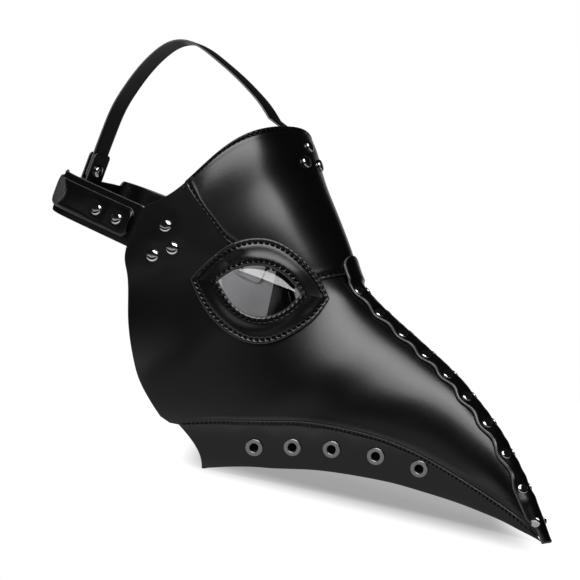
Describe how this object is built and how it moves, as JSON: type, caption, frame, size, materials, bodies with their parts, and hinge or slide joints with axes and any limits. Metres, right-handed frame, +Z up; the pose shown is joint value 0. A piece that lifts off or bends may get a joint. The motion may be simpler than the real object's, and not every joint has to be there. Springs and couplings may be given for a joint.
{
  "type": "plague doctor mask",
  "caption": "Beaked black leather masquerade mask of sewn and riveted panels with almond lenses, studded beak ridge, vented jaw bands and head straps.",
  "frame": {"origin": "on the resting plane, below the middle of the part's box", "axes": "+X forward along the beak, +Y to the wearer's left, +Z up; the part stands on the rear corners of its jaw bands and on the tip of its beak"},
  "size_m": [0.4006, 0.1528, 0.2919],
  "materials": {
    "black_leather": "semi-gloss smooth black leather",
    "strap_leather": "satin black strap leather",
    "polished_steel": "polished domed rivets and eyelets",
    "lens_tint": "smoked clear plastic lens"
  },
  "bodies": {
    "mask": {"back_strap": "strap_leather", "eye_lens_left": "lens_tint", "eye_lens_right": "lens_tint", "eye_surround_left": "black_leather", "eye_surround_right": "black_leather", "eyelet_left_1": "polished_steel", "eyelet_left_2": "polished_steel", "eyelet_left_3": "polished_steel", "eyelet_left_4": "polished_steel", "eyelet_left_5": "polished_steel", "eyelet_right_1": "polished_steel", "eyelet_right_2": "polished_steel", "eyelet_right_3": "polished_steel", "eyelet_right_4": "polished_steel", "eyelet_right_5": "polished_steel", "forehead_panel": "black_leather", "forehead_rivet_1": "polished_steel", "forehead_rivet_2": "polished_steel", "forehead_rivet_3": "polished_steel", "lens_retainer_left": "black_leather", "lens_retainer_right": "black_leather", "lower_band_left": "black_leather", "lower_band_right": "black_leather", "ridge_rivet_left_1": "polished_steel", "ridge_rivet_left_2": "polished_steel", "ridge_rivet_left_3": "polished_steel", "ridge_rivet_left_4": "polished_steel", "ridge_rivet_left_5": "polished_steel", "ridge_rivet_left_6": "polished_steel", "ridge_rivet_left_7": "polished_steel", "ridge_rivet_left_8": "polished_steel", "ridge_rivet_left_9": "polished_steel", "ridge_rivet_right_1": "polished_steel", "ridge_rivet_right_2": "polished_steel", "ridge_rivet_right_3": "polished_steel", "ridge_rivet_right_4": "polished_steel", "ridge_rivet_right_5": "polished_steel", "ridge_rivet_right_6": "polished_steel", "ridge_rivet_right_7": "polished_steel", "ridge_rivet_right_8": "polished_steel", "ridge_rivet_right_9": "polished_steel", "ridge_strip": "black_leather", "side_panel_left": "black_leather", "side_panel_right": "black_leather", "side_rivet_left_1": "polished_steel", "side_rivet_left_2": "polished_steel", "side_rivet_left_3": "polished_steel", "side_rivet_right_1": "polished_steel", "side_rivet_right_2": "polished_steel", "side_rivet_right_3": "polished_steel", "side_strap_left": "strap_leather", "side_strap_right": "strap_leather", "strap_rivet_left_1": "polished_steel", "strap_rivet_left_2": "polished_steel", "strap_rivet_right_1": "polished_steel", "strap_rivet_right_2": "polished_steel", "tip_rivet": "polished_steel", "top_strap": "strap_leather"},
    "keeper": {"strap_loop": "strap_leather", "strap_loop_rivet": "polished_steel"}
  },
  "joints": [
    {"name": "keeper_slide", "type": "slide", "parent": "mask", "child": "keeper", "axis": [0, 1, 0], "range_m": [-0.02, 0.02], "deforming": ["top_strap"]}
  ]
}
